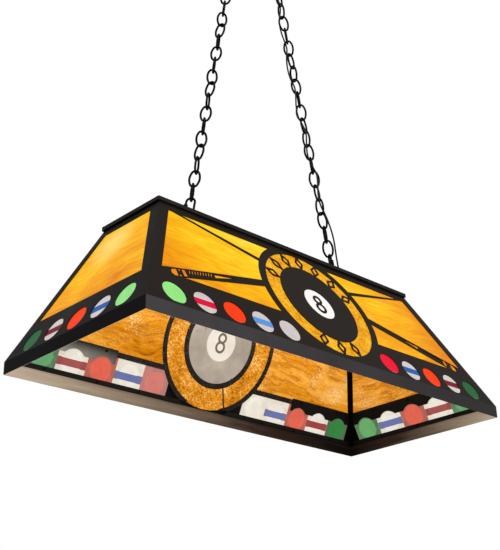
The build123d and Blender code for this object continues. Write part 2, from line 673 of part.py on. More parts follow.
save("canopy", canopy())
ring_nut = tube(21, COLLAR_RADIUS + 0.1, -CANOPY_DEPTH - RING_NUT_HEIGHT, -CANOPY_DEPTH)
for step in range(24):
    ring_nut -= Rot(0, 0, step * 15) * rod(1.2, -CANOPY_DEPTH - RING_NUT_HEIGHT - 1, 1 - CANOPY_DEPTH, 21.6)
save("canopy_ring_nut", ring_nut)
inner_face = CANOPY_SHEET - CANOPY_DEPTH
bushing = tube(4.5, CORD / 2 + 0.1, -CANOPY_DEPTH, inner_face + 2, *CORD_EXIT)
bushing += tube(7, CORD / 2 + 0.1, -CANOPY_DEPTH - 2.5, -CANOPY_DEPTH, *CORD_EXIT)
save("canopy_bushing", bushing)

# Terminal block on the crossbar, with the cord's hole in its side.
TERMINAL = (24.0, 16.0, 12.0)
TERMINAL_UP = -BAR_THICK - TERMINAL[2] / 2
block = Pos(24, 0, TERMINAL_UP) * Box(*TERMINAL)
block -= Pos(CORD_EXIT[0], TERMINAL[1] / 2, TERMINAL_UP) * (Rot(90, 0, 0) * Cylinder(CORD / 2 + 0.05, 8))
save("terminal_block", block)

# ---- Master ring, chains and quick links ----
save("master_ring", Pos(0, 0, RING_CENTRE) * (Rot(0, 90, 0) * Torus(RING_RADIUS, RING_WIRE / 2)))


def chain_line(hand):
    """Top point, unit direction, two unit cross directions and length of one chain's centre line."""
    top = Vector(0, hand * TOP_LINK_SPREAD, APEX)
    bottom = Vector(hand * CHAIN_END_X, 0, HANGER_UP - DROP)
    along = (bottom - top).normalized()
    across = Vector(0, 1, 0).cross(along).normalized()
    return top, along, across, along.cross(across), (bottom - top).length


def oval(half_length, half_width, wire):
    """A round-ended link standing on Z, its width along X."""
    straight = half_length - half_width
    bend = Rot(90, 0, 0) * Torus(half_width, wire / 2, major_angle=180, align=None)
    link = Pos(0, 0, straight) * bend + Pos(0, 0, -straight) * (Rot(180, 0, 0) * bend)
    for x in (-half_width, half_width):
        link += Pos(x, 0, 0) * Cylinder(wire / 2, 2 * straight)
    return link


# The top link's upper bend rests inside the ring, so its centre line starts above the apex.
reach = RING_RADIUS - (RING_WIRE + CHAIN_WIRE) / 2 - RING_GAP
TOP_BEND_ABOVE = sqrt(RING_RADIUS ** 2 - TOP_LINK_SPREAD ** 2) - sqrt(reach ** 2 - TOP_LINK_SPREAD ** 2)
LINE_LENGTH = chain_line(1)[4]
LINK_PLAY = 0.2
UNEVEN_TWIST = 15.0
TURN_OVER = 4                # links over which the right chain takes up its extra turn
LEFT_START = 16              # the left chain's lower links follow its uneven twist from here
LEFT_SHIFT = 3
LEFT_TOP_TWIST = 98.55
QUICK_CENTRE = LINE_LENGTH + (EYE_WIRE + QUICK_WIRE) / 2 + RING_GAP - QUICK_HALF
LAST_BEND = QUICK_CENTRE - QUICK_HALF + (QUICK_WIRE + CHAIN_WIRE) / 2 + LINK_PLAY
CHAIN_PITCH = (LAST_BEND + TOP_BEND_ABOVE - CHAIN_WIRE - LINK_PLAY) / CHAIN_LINKS
LINK_HALF = (CHAIN_PITCH + CHAIN_WIRE + LINK_PLAY) / 2
LINK_SIDE = (CHAIN_WIDTH - CHAIN_WIRE) / 2


def link_down(number):
    """Distance of a link's middle down the chain's line."""
    return LINK_HALF - TOP_BEND_ABOVE + number * CHAIN_PITCH


def link_angle(number, hand):
    """The right chain twists evenly. The left one twists the other way, a little unevenly."""
    if hand > 0:
        return CHAIN_TWIST * number + CHAIN_TURN * min(1, number / TURN_OVER)
    if number < LEFT_START:
        return -LEFT_TOP_TWIST * number
    uneven = UNEVEN_TWIST * sin(2 * pi * (CHAIN_LINKS - number + LEFT_SHIFT) / 5)
    return -CHAIN_TWIST * (number - LEFT_SHIFT) - uneven


def place_on_chain(hand, down, angle):
    top, along, across, side, length = chain_line(hand)
    width = across * cos(radians(angle)) + side * sin(radians(angle))
    return Plane(origin=top + along * down, x_dir=width, z_dir=along).location


def arc_rod(radius, wire, middle, sweep):
    """Part of a ring standing in the XZ plane, centred on the angle middle up from +X."""
    ring = Rot(90, 0, 0) * Torus(radius, wire / 2, major_angle=sweep, align=None)
    return Rot(0, sweep / 2 - middle, 0) * ring


def bowed_link(half_length, half_width, bend, wire):
    """A chain link of four arcs, standing on Z: two tight ends and two gently bowed sides."""
    rise = half_length - bend
    side = (rise ** 2 + half_width ** 2 - bend ** 2) / (2 * (half_width - bend))
    shift = side - half_width
    half_side = degrees(atan2(rise, shift))
    link = Pos(0, 0, rise) * arc_rod(bend, wire, 90, 180 - 2 * half_side)
    link += Pos(0, 0, -rise) * arc_rod(bend, wire, -90, 180 - 2 * half_side)
    link += Pos(-shift, 0, 0) * arc_rod(side, wire, 0, 2 * half_side)
    link += Pos(shift, 0, 0) * arc_rod(side, wire, 180, 2 * half_side)
    return link


link = bowed_link(LINK_HALF, LINK_SIDE, CHAIN_BEND, CHAIN_WIRE)
for name, hand in (("chain_left", -1), ("chain_right", 1)):
    save(name, [place_on_chain(hand, link_down(number), link_angle(number, hand)) * link
                for number in range(CHAIN_LINKS)])

SLEEVE_RADIUS = 4.9
SLEEVE = (-10.0, 4.0)         # along the leg, measured down the chain
QUICK_GATE = (-8.0, -1.0)
quick_link = oval(QUICK_HALF, QUICK_SIDE, QUICK_WIRE)
quick_link -= rod(QUICK_WIRE, *QUICK_GATE, QUICK_SIDE)
sleeve = Pos(QUICK_SIDE, 0, SLEEVE[0]) * extrude(RegularPolygon(SLEEVE_RADIUS, 6), SLEEVE[1] - SLEEVE[0])
sleeve -= rod(QUICK_WIRE / 2 + 0.05, SLEEVE[0] - 1, SLEEVE[1] + 1, QUICK_SIDE)
for name, hand in (("left", -1), ("right", 1)):
    where = place_on_chain(hand, QUICK_CENTRE, hand * CHAIN_TWIST * CHAIN_LINKS)
    save(f"quick_link_{name}", where * quick_link)
    save(f"link_sleeve_{name}", where * sleeve)

# ---- Supply cord ----
# It leaves the canopy beside the ring, crosses the side swing axis, is woven down the right chain,
# through every third link, crosses the tilt axis beside the hanger eye and enters the cap.
# It is made in three lengths that meet on those two axes.
WEAVE_FIRST = 5
WEAVE_EVERY = 3
WEAVE_LAST = 29
WEAVE_TURN = WEAVE_EVERY * CHAIN_TWIST - 360     # from one of those links to the next
THROUGH = 3.4                # distance from the chain's line inside a link
BESIDE = (25.5, 11.0, 42.0)  # distance past that link, from the chain's line, and turn about it
BETWEEN = 12.9               # distance from the line halfway to the next link
JOINT_GAP = 1.0


def beside_chain(down, out, angle):
    top, along, across, side, length = chain_line(1)
    return top + along * down + (across * cos(radians(angle)) + side * sin(radians(angle))) * out


def woven_points():
    past, out, turn = BESIDE
    points = []
    for number in range(WEAVE_FIRST, WEAVE_LAST + 1, WEAVE_EVERY):
        down = link_down(number)
        angle = link_angle(number, 1)
        points += [beside_chain(down - past, out, angle + turn), beside_chain(down, THROUGH, angle),
                   beside_chain(down + past, out, angle - turn)]
        if number + WEAVE_EVERY <= WEAVE_LAST:
            halfway = down + CHAIN_PITCH * WEAVE_EVERY / 2
            points.append(beside_chain(halfway, BETWEEN, angle + WEAVE_TURN / 2))
    return points


TILT = HANGER_UP - DROP
exit_x, exit_y = CORD_EXIT
top_route = [Vector(exit_x, TERMINAL[1] / 2 - 3, TERMINAL_UP), Vector(exit_x, exit_y - 12, TERMINAL_UP - 2),
             Vector(exit_x, exit_y, TERMINAL_UP - 15), Vector(exit_x, exit_y, APEX + 45),
             Vector(0, 27.5, APEX - JOINT_GAP / 2)]
main_route = [Vector(-0.2, 27.2, APEX - 1.5 * JOINT_GAP), Vector(-2.5, 26, APEX - 25),
              Vector(8, 28, APEX - 52), Vector(30, 24, APEX - 88), Vector(43, 12, APEX - 126), *woven_points(),
              Vector(228, -10, TILT + 92), Vector(243.4, -2, TILT + 40), Vector(252, 0, TILT + JOINT_GAP / 2)]
inlet_route = [Vector(252.3, 0, TILT - JOINT_GAP / 2), Vector(INLET_X, 0.2, TILT - 19),
               Vector(INLET_X, 0, BLOCK_HIGH - 3.5 - DROP)]


def cord_tube(name, route):
    """Straight runs and tangent arcs, each arc as large as its two runs allow."""
    radii = []
    for before, corner, after in zip(route, route[1:], route[2:]):
        run_in, run_out = corner - before, after - corner
        turn = radians(run_in.get_angle(run_out))
        radii.append(0.45 * min(run_in.length, run_out.length) / tan(turn / 2))
    path = FilletPolyline(*route, radius=radii)
    solid = sweep(Plane(path @ 0, z_dir=path % 0).location * Circle(CORD / 2), path)
    section = pi * CORD ** 2 / 4
    print(name, "length", round(path.length, 1), "smallest radius", round(min(radii), 1),
          "volume ratio", round(solid.volume / (section * path.length), 4))
    save(name, solid)


cord_tube("supply_cord_top", top_route)
cord_tube("supply_cord", main_route)
cord_tube("supply_cord_inlet", inlet_route)
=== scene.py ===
import bpy
import math
from mathutils import Matrix, Vector


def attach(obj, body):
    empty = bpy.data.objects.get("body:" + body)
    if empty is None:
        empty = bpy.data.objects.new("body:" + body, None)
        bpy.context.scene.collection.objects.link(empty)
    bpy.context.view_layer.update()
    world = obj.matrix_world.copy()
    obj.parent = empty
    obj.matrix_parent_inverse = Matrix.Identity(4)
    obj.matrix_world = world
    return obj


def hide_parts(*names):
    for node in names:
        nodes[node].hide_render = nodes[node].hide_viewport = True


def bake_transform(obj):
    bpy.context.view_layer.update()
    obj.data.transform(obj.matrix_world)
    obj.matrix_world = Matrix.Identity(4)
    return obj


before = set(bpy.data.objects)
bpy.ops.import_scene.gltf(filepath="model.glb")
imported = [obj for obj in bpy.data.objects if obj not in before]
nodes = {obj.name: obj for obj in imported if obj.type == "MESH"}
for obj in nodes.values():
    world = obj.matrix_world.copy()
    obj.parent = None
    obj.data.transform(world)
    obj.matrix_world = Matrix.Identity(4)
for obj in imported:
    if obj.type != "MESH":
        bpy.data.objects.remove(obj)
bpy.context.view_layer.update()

# Metres, in the part's own frame: the origin is at the ceiling, +X runs along the shade and
# its near side faces -Y.
DROP = 1.7                       # ceiling to the shade's bottom edge
HALF_LENGTH = 0.508
HALF_WIDTH = 0.221
SKIRT = 0.026                    # the skirt's height
SLOPE_UP = 0.9025                # height gained per metre up a panel's slope
MEDALLION_UP = 0.154             # middle of the medallion, up the slope from the skirt
BALL_UP = 0.0305                 # middle of the ball holes, up the slope from the skirt
BALL_FIRST = 0.1482              # the hole nearest the middle of a long panel
BALL_PITCH = 0.0716              # between holes on a long panel
END_PITCH = 0.0733               # between holes on an end panel, one of them in its middle
BALL_RADIUS = 0.026
BULB_X = (-0.25, 0.0, 0.25)
BULB_UP = 0.198                  # middle of a bulb's glass, above the shade's bottom edge
BULB_BASE_UP = 0.246             # where the glass ends and the screw base starts


# ---------------------------------------------------------------- shader helpers
def linear(rgb):
    """Display colour 0..255 to scene colour."""
    out = []
    for value in rgb:
        c = value / 255
        out.append(c / 12.92 if c <= 0.04045 else ((c + 0.055) / 1.055) ** 2.4)
    return (*out, 1.0)


class Shader:
    """A material's node tree, built by calls that return sockets."""

    def __init__(self, name):
        self.material = bpy.data.materials.new(name)
        self.material.use_nodes = True
        self.tree = self.material.node_tree
        self.tree.nodes.clear()
        self.output = self.tree.nodes.new("ShaderNodeOutputMaterial")
        coords = self.tree.nodes.new("ShaderNodeTexCoord")
        self.place = coords.outputs["Object"]
        self._split = None
        self._normal = None

    def node(self, kind, **settings):
        made = self.tree.nodes.new(kind)
        for key, value in settings.items():
            setattr(made, key, value)
        return made

    def feed(self, socket, value):
        if hasattr(value, "is_output"):
            self.tree.links.new(value, socket)
        else:
            socket.default_value = value

    def math(self, operation, *values):
        made = self.node("ShaderNodeMath", operation=operation)
        for socket, value in zip(made.inputs, values):
            self.feed(socket, value)
        return made.outputs[0]

    def plus(self, a, b):
        return self.math("ADD", a, b)

    def minus(self, a, b):
        return self.math("SUBTRACT", a, b)

    def times(self, a, b):
        return self.math("MULTIPLY", a, b)

    def over(self, a, b):
        return self.math("DIVIDE", a, b)

    def size(self, a):
        return self.math("ABSOLUTE", a)

    def vector(self, operation, *values):
        made = self.node("ShaderNodeVectorMath", operation=operation)
        for socket, value in zip(made.inputs, values):
            self.feed(socket, value)
        return made.outputs["Value" if operation == "DISTANCE" else "Vector"]

    def axis(self, index):
        if self._split is None:
            self._split = self.node("ShaderNodeSeparateXYZ")
            self.feed(self._split.inputs[0], self.place)
        return self._split.outputs[index]

    def normal(self, index):
        """The face's own direction in the object's frame."""
        if self._normal is None:
            coords = self.node("ShaderNodeTexCoord")
            self._normal = self.node("ShaderNodeSeparateXYZ")
            self.feed(self._normal.inputs[0], coords.outputs["Normal"])
        return self._normal.outputs[index]

    def stretched(self, x, y, z):
        return self.vector("MULTIPLY", self.place, (x, y, z))

    def noise(self, scale, detail=3.0, roughness=0.5, distortion=0.0, at=None):
        made = self.node("ShaderNodeTexNoise")
        self.feed(made.inputs["Vector"], self.place if at is None else at)
        for key, value in (("Scale", scale), ("Detail", detail), ("Roughness", roughness),
                           ("Distortion", distortion)):
            made.inputs[key].default_value = value
        return made.outputs["Fac"]

    def voronoi(self, scale, output="Distance", at=None):
        made = self.node("ShaderNodeTexVoronoi", feature="F1")
        self.feed(made.inputs["Vector"], self.place if at is None else at)
        made.inputs["Scale"].default_value = scale
        return made.outputs[output]

    def ramp(self, fac, *stops):
        made = self.node("ShaderNodeValToRGB")
        elements = made.color_ramp.elements
        while len(elements) < len(stops):
            elements.new(0.5)
        for element, (position, colour) in zip(elements, stops):
            element.position = position
            element.color = colour if len(colour) == 4 else linear(colour)
        self.feed(made.inputs[0], fac)
        return made.outputs[0]

    def step(self, value, low, high):
        """Smooth 0 to 1 as value goes from low to high."""
        made = self.node("ShaderNodeMapRange", interpolation_type="SMOOTHSTEP")
        self.feed(made.inputs[0], value)
        made.inputs[1].default_value = low
        made.inputs[2].default_value = high
        return made.outputs[0]

    def between(self, value, low, high, to_low, to_high):
        made = self.node("ShaderNodeMapRange")
        self.feed(made.inputs[0], value)
        for socket, number in zip(list(made.inputs)[1:5], (low, high, to_low, to_high)):
            socket.default_value = number
        return made.outputs[0]

    def fade(self, share, start, end):
        """A number that runs from start to end as share goes from 0 to 1."""
        return self.between(share, 0.0, 1.0, start, end)

    def vary(self, noise, low, high):
        """A number that runs from low to high over the middle of a noise's range."""
        return self.between(noise, 0.3, 0.7, low, high)

    def mix(self, fac, a, b):
        made = self.node("ShaderNodeMix", data_type="RGBA")
        self.feed(made.inputs[0], fac)
        for socket, value in zip((made.inputs[6], made.inputs[7]), (a, b)):
            if isinstance(value, tuple) and len(value) == 3:
                value = linear(value)
            self.feed(socket, value)
        return made.outputs[2]

    def bump(self, height, strength, distance=0.001):
        made = self.node("ShaderNodeBump")
        made.inputs["Strength"].default_value = strength
        made.inputs["Distance"].default_value = distance
        self.feed(made.inputs["Height"], height)
        return made.outputs[0]

    def principled(self, **sockets):
        made = self.node("ShaderNodeBsdfPrincipled")
        for key, value in sockets.items():
            self.feed(made.inputs[key.replace("_", " ")], value)
        return made.outputs[0]

    def scaled(self, colour, factor):
        """A colour multiplied by a number or by a grey socket."""
        grey = self.node("ShaderNodeCombineXYZ")
        for socket in grey.inputs:
            self.feed(socket, factor)
        return self.vector("MULTIPLY", colour, grey.outputs[0])

    def lit_glass(self, colour, strength, bump, roughness=0.22, gloss=0.07):
        """Glass lit from the other side: mostly its own glow, and a little colour and gloss."""
        return self.done(self.principled(
            Base_Color=self.scaled(colour, 0.10), Emission_Color=colour, Emission_Strength=strength,
            Roughness=roughness, Specular_IOR_Level=gloss, Normal=bump))

    def done(self, surface):
        self.tree.links.new(surface, self.output.inputs["Surface"])
        return self.material


# ---------------------------------------------------------------- places on the shade, for shaders
GLOW_UP = 0.215                  # the brightest level, above the shade's bottom edge
GLOW_SHARES = (1.0, 0.85, 0.5)   # each bulb's strength, from the left
GLOW_REACH = 0.15
GLOW_CORE = 0.4                  # keeps the glow finite at a bulb


def glow(s):
    """How strongly the bulbs behind light this point: 1 close to a bulb, less further off."""
    total = None
    for x, share in zip(BULB_X, GLOW_SHARES):
        away = s.over(s.vector("DISTANCE", s.place, (x, 0.0, -DROP + GLOW_UP)), GLOW_REACH)
        near = s.over(share, s.plus(s.math("POWER", away, 2.0), GLOW_CORE))
        total = near if total is None else s.plus(total, near)
    return s.between(total, 0.15, 1.05, 0.0, 1.0)


def inward(s):
    """1 on the faces that look into the shade."""
    return s.step(s.normal(2), 0.1, -0.1)


def up_slope(s, level):
    """Distance up the slope from a level above the skirt, on any panel."""
    height = s.plus(s.axis(2), DROP - SKIRT)
    return s.minus(s.over(height, SLOPE_UP), level)


def on_end(s):
    """1 on the two end panels and skirts, 0 on the long ones."""
    return s.step(s.size(s.normal(0)), 0.4, 0.6)


# ---------------------------------------------------------------- art glass
RUST_X = (0.33, 0.43)            # rusty streaks start and are full here, towards the right end
PAINTED_HOT_SPOT = (-0.4057, 0.0164, 0.2404 - DROP)       # painted hot spot, where a bulb shines through the left end's glass
HOT_SPOT_REACH = 0.085


def amber_outside(s, broad, thin, fine):
    """Lit side: yellow near the bulbs, orange away from them, painted a little lighter on the end
    panels, with a painted hot spot on the left end.
    """
    cloud = s.between(s.noise(6.0, 2.0, 0.5), 0.35, 0.65, 0.0, 1.0)
    tone = s.plus(s.times(broad, 0.22), s.times(glow(s), 0.40))
    tone = s.plus(tone, s.times(thin, 0.26))
    tone = s.plus(tone, s.times(cloud, 0.14))
    # painted light: the end panels a little lighter
    tone = s.plus(tone, s.times(on_end(s), 0.07))
    colour = s.ramp(tone, (0.12, (200, 100, 12)), (0.32, (229, 136, 8)), (0.50, (245, 164, 6)),
                    (0.66, (252, 190, 10)), (0.82, (254, 212, 34)), (1.0, (255, 232, 104)))
    rust = s.times(s.step(s.axis(0), *RUST_X), s.step(fine, 0.50, 0.62))
    colour = s.mix(s.times(rust, 0.7), colour, (222, 100, 28))
    # painted highlight: the hot spot where a bulb shines through the left end
    hot_spot = s.step(s.vector("DISTANCE", s.place, PAINTED_HOT_SPOT), HOT_SPOT_REACH, 0.0)
    return s.mix(s.times(hot_spot, s.fade(thin, 0.45, 0.8)), colour, (254, 228, 132))


def amber_inside(s, streak, broad, thin, grain):
    """Inner side: a painted shaded copy, browner than the lit side and darker still on the end
    panels, with dark veins and patches of pale flecks.
    """
    tone = s.plus(s.times(broad, 0.55), s.times(thin, 0.45))
    # painted shade: darker on the end panels
    tone = s.minus(tone, s.times(on_end(s), 0.14))
    colour = s.ramp(tone, (0.05, (150, 84, 8)), (0.30, (208, 126, 12)), (0.58, (236, 154, 26)),
                    (0.82, (248, 174, 54)), (1.0, (252, 204, 118)))
    vein = s.step(s.size(s.minus(streak, 0.5)), 0.022, 0.004)
    colour = s.mix(s.times(vein, 0.45), colour, (140, 74, 10))
    flecks = s.step(s.times(grain, s.between(streak, 0.35, 0.7, 0.7, 1.5)), 0.58, 0.80)
    patch = s.step(s.noise(9.0, 3.0, 0.6), 0.47, 0.64)
    patch = s.times(patch, s.fade(on_end(s), 1.0, 0.3))
    return s.mix(s.times(flecks, s.fade(patch, 0.18, 0.85)), colour, (253, 228, 170))


def amber(name):
    """Streaky rolled glass: long combed streaks across, fine rippled grain over them."""
    s = Shader(name)
    drift = s.vector("MULTIPLY", s.noise(4.0, 2.0), (1.8, 1.8, 2.8))
    wander = s.vector("ADD", s.stretched(4.2, 4.2, 30), drift)
    streak = s.noise(1.0, 6.0, 0.62, 0.35, at=wander)
    fine = s.noise(1.0, 5.0, 0.68, 0.2, at=s.vector("MULTIPLY", wander, (3.6, 3.6, 7.0)))
    broad = s.between(streak, 0.32, 0.68, 0.0, 1.0)
    thin = s.between(fine, 0.32, 0.68, 0.0, 1.0)
    grain = s.voronoi(420, at=s.stretched(0.75, 0.75, 1.0))
    facing_in = inward(s)
    # outside and inside are painted as lit and shaded copies of one glass; the inside glows less
    colour = s.mix(facing_in, amber_outside(s, broad, thin, fine),
                   amber_inside(s, streak, broad, thin, grain))
    ripple = s.bump(s.plus(s.times(grain, 0.5), streak), 0.35, 0.0008)
    return s.lit_glass(colour, s.fade(facing_in, 0.94, 0.86), ripple, gloss=0.02)


def granular(name):
    """Ring glass: hammered orange glass, a mosaic of small bright and dark grains."""
    s = Shader(name)
    tint = s.node("ShaderNodeSeparateColor")
    s.feed(tint.inputs[0], s.voronoi(300, "Color"))
    drift = s.noise(24, 4.0, 0.6)
    tone = s.plus(s.times(tint.outputs[0], 0.55), s.times(s.vary(drift, 0.0, 1.0), 0.45))
    outside = s.ramp(tone, (0.05, (182, 104, 4)), (0.35, (232, 152, 6)), (0.62, (247, 178, 10)),
                     (1.0, (255, 214, 70)))
    # inner face: a painted shaded copy of the lit outside, darker and browner
    inside = s.ramp(tone, (0.05, (132, 74, 8)), (0.35, (200, 122, 18)), (0.65, (230, 152, 42)),
                    (1.0, (254, 214, 138)))
    hammering = s.bump(s.voronoi(300), 0.6, 0.0012)
    return s.lit_glass(s.mix(inward(s), outside, inside), 0.92, hammering, gloss=0.02)


def distance(s, across, up):
    return s.math("SQRT", s.plus(s.times(across, across), s.times(up, up)))


def ball_disc(s):
    """1 where the glass shows in a round hole, 0 where the panel backs it."""
    def from_nearest(along, pitch):
        # the half puts a hole in the middle of each turn, and the 20 keeps the sum above 0
        turn = s.minus(s.math("FRACT", s.plus(s.over(along, pitch), 20.5)), 0.5)
        return s.times(turn, pitch)

    on_long = from_nearest(s.minus(s.size(s.axis(0)), BALL_FIRST), BALL_PITCH)
    end = on_end(s)
    across = s.plus(s.times(on_long, s.minus(1.0, end)),
                    s.times(from_nearest(s.axis(1), END_PITCH), end))
    away = distance(s, across, up_slope(s, BALL_UP))
    return s.step(away, BALL_RADIUS + 0.0015, BALL_RADIUS - 0.0020)


def ball_glass(name, outer, inner, backed):
    """Opalescent glass: outer, inner and backed are its colours outside, inside, and inside where
    steel backs it, each painted as it looks lit; backed is painted shade, as no light comes
    through the steel. A pair gives the front left and back right quarters their own, first."""
    s = Shader(name)
    product = s.times(s.axis(0), s.axis(1))
    first = s.times(s.step(product, -0.0002, 0.0002), s.minus(1.0, on_end(s)))
    outside, open_inside = (s.mix(first, pair[1], pair[0]) for pair in (outer, inner))
    wisps = s.noise(38, 5.0, 0.6, 0.8)
    grain = s.voronoi(520)
    # painted shade where the steel backs the glass, painted light in the hole
    painted_backed_shade = s.mix(s.vary(wisps, 0.0, 0.5), backed, open_inside)
    inside = s.mix(ball_disc(s), painted_backed_shade, open_inside)
    shade = s.between(wisps, 0.25, 0.75, 0.86, 1.06)
    shade = s.times(shade, s.between(grain, 0.1, 0.9, 0.94, 1.04))
    colour = s.scaled(s.mix(inward(s), outside, inside), shade)
    return s.lit_glass(colour, 0.92, s.bump(s.plus(grain, wisps), 0.25, 0.0006), gloss=0.025)


NUMERAL_LOOPS = ((0.0098, 0.0118), (0.0112, -0.0090))    # middle radius, height above the centre
NUMBER_HOLE = 0.041


def opal(name):
    """White opal glass: lit in the number's window; on its inner face mottled, with painted grey
    shade where the steel backs it and the steel numeral as a painted shadow.
    """
    s = Shader(name)
    up = up_slope(s, MEDALLION_UP)
    window = s.step(distance(s, s.axis(0), up), NUMBER_HOLE + 0.001, NUMBER_HOLE - 0.001)
    loops = []
    for radius, rise in NUMERAL_LOOPS:
        off = s.size(s.minus(distance(s, s.axis(0), s.minus(up, rise)), radius))
        loops.append(s.step(off, 0.0036, 0.0022))
    numeral_shadow = s.math("MAXIMUM", *loops)
    mottle = s.noise(14, 4.0, 0.55)
    specks = s.times(s.step(s.noise(95, 2.0, 0.5), 0.60, 0.66),
                     s.step(s.noise(21, 1.0), 0.50, 0.56))
    # painted shade: grey where the steel backs the glass, with dark specks in the glass
    grey = s.ramp(mottle, (0.3, (154, 143, 130)), (0.52, (176, 165, 151)), (0.75, (200, 188, 173)))
    grey = s.mix(s.times(specks, 0.75), grey, (62, 54, 48))
    lit = s.ramp(mottle, (0.3, (240, 236, 232)), (0.7, (252, 250, 248)))
    seen_through = s.ramp(mottle, (0.3, (222, 214, 204)), (0.7, (240, 234, 226)))
    # in the window, the steel numeral behind the glass is a painted shadow
    inside = s.mix(window, grey, s.mix(numeral_shadow, seen_through, (112, 102, 84)))
    facing_in = inward(s)
    return s.lit_glass(s.mix(facing_in, lit, inside), s.fade(facing_in, 0.98, 0.88),
                       s.bump(mottle, 0.2, 0.0008), roughness=0.28)


# ---------------------------------------------------------------- metal, cord and the rest
SKIN = 0.0007                    # this far in still counts as the skirt's outer face


def steel(name, dark, pale, roughness=(0.40, 0.58), metallic=0.1, grain=0.12, specular=0.16,
          inside=1.0, ends=1.0):
    """Blackened steel: cloudy satin finish, a fine tooth and faint brown bloom. inside and ends
    are painted shade: how light its inward faces and the end panels are beside the rest."""
    s = Shader(name)
    cloud = s.noise(9, 5.0, 0.6)
    tooth = s.noise(900, 2.0, 0.5)
    bloom = s.noise(2.7, 2.0, 0.5)
    warm = tuple(min(255, c + d) for c, d in zip(pale, (10, 4, 0)))
    colour = s.mix(s.vary(cloud, 0.0, 1.0), dark, pale)
    colour = s.mix(s.between(bloom, 0.45, 0.7, 0.0, 0.35), colour, warm)
    # painted shade: inward faces and end panels darker
    if inside < 1:
        colour = s.scaled(colour, s.fade(inward(s), 1.0, inside))
    if ends < 1:
        colour = s.scaled(colour, s.fade(on_end(s), 1.0, ends))
    wear = s.plus(s.times(cloud, 0.7), s.times(tooth, 0.3))
    return s.done(s.principled(Base_Color=colour, Metallic=metallic, Specular_IOR_Level=specular,
                               Roughness=s.vary(wear, *roughness),
                               Normal=s.bump(tooth, grain, 0.0003)))


def skirt_steel(name):
    """The skirt: satin steel outside, with a painted reflection that makes the near side's face
    paler towards the left, and inside a sheen where the lamps' light grazes it. The sheen fades
    towards the corner at +X +Y."""
    s = Shader(name)
    cloud = s.noise(9, 5.0, 0.6)
    tooth = s.noise(900, 2.0, 0.5)
    smear = s.noise(1.0, 4.0, 0.6, at=s.stretched(7, 7, 90))
    # painted reflection: the near side's outer face paler, fading to the right; other outer faces
    # near black
    front = s.step(s.normal(1), -0.5, -0.9)
    near_side_reflection = s.mix(s.between(s.axis(0), -0.5, 0.5, 0.0, 1.0), (63, 60, 61), (46, 42, 44))
    near_side_reflection = s.scaled(near_side_reflection, s.vary(cloud, 0.84, 1.16))
    outside = s.mix(front, s.mix(cloud, (6, 4, 4), (18, 14, 13)), near_side_reflection)
    dark_corner = (HALF_LENGTH, HALF_WIDTH, SKIRT / 2 - DROP)
    full_at = s.fade(on_end(s), 1.02, 0.47)
    away = s.over(s.vector("DISTANCE", s.place, dark_corner), full_at)
    sheen = s.ramp(s.plus(away, s.vary(smear, -0.07, 0.07)),
                   (0.02, (14, 9, 7)), (0.30, (46, 33, 26)), (0.55, (98, 84, 70)),
                   (0.80, (152, 135, 115)), (1.0, (190, 174, 153)))
    past_length = s.minus(s.size(s.axis(0)), HALF_LENGTH - SKIN)
    past_width = s.minus(s.size(s.axis(1)), HALF_WIDTH - SKIN)
    inner = s.minus(1.0, s.step(s.math("MAXIMUM", past_length, past_width), -0.0004, 0.0))
    colour = s.mix(inner, outside, s.scaled(sheen, 0.15))
    return s.done(s.principled(Base_Color=colour, Metallic=0.1, Specular_IOR_Level=0.05,
                               Roughness=s.vary(cloud, 0.4, 0.56),
                               Emission_Color=sheen, Emission_Strength=s.times(inner, 0.8),
                               Normal=s.bump(tooth, 0.12, 0.0003)))


def retainer_steel(name):
    """The clamping strips: black, with a pale sheen on the back's strips left of the medallion,
    beside and above the balls, where the light grazes them."""
    s = Shader(name)
    cloud = s.noise(30, 4.0, 0.6)
    tooth = s.noise(900, 2.0, 0.5)
    black = s.mix(cloud, (5, 4, 3), (16, 12, 9))
    up = up_slope(s, 0.0)
    ball_row = s.times(s.step(up, 0.079, 0.050), s.step(up, 0.030, 0.045))
    left_part = s.times(s.step(s.axis(0), -0.256, -0.268),
                        s.between(s.axis(0), -0.26, -0.40, 0.45, 1.0))
    back = s.step(s.axis(1), 0.10, 0.11)
    sheen = s.times(s.times(ball_row, s.times(left_part, back)), s.vary(cloud, 0.86, 1.0))
    return s.done(s.principled(Base_Color=black, Metallic=0.1, Specular_IOR_Level=0.09,
                               Roughness=s.vary(cloud, 0.4, 0.58),
                               Emission_Color=s.mix(cloud, (142, 137, 127), (160, 156, 146)),
                               Emission_Strength=s.times(sheen, 0.9),
                               Normal=s.bump(tooth, 0.12, 0.0003)))


def solder(name):
    """Blackened lead over the glass joints, lumpy where it was run."""
    s = Shader(name)
    lumps = s.noise(170, 3.0, 0.6)
    colour = s.ramp(lumps, (0.35, (9, 8, 7)), (0.6, (22, 19, 17)), (0.8, (62, 56, 52)))
    return s.done(s.principled(Base_Color=colour, Metallic=0.1, Specular_IOR_Level=0.12,
                               Roughness=s.vary(lumps, 0.3, 0.55),
                               Normal=s.bump(lumps, 0.8, 0.0015)))


def brushed(name, dark, pale, roughness=0.34):
    """Plated or bare metal with fine lines round it."""
    s = Shader(name)
    lines = s.noise(1.0, 3.0, 0.6, at=s.stretched(900, 900, 60))
    smudge = s.noise(40, 3.0, 0.5)
    colour = s.mix(s.vary(smudge, 0.0, 1.0), dark, pale)
    return s.done(s.principled(Base_Color=colour, Metallic=0.9,
                               Roughness=s.vary(lines, roughness - 0.08, roughness + 0.12),
                               Normal=s.bump(lines, 0.15, 0.0002)))


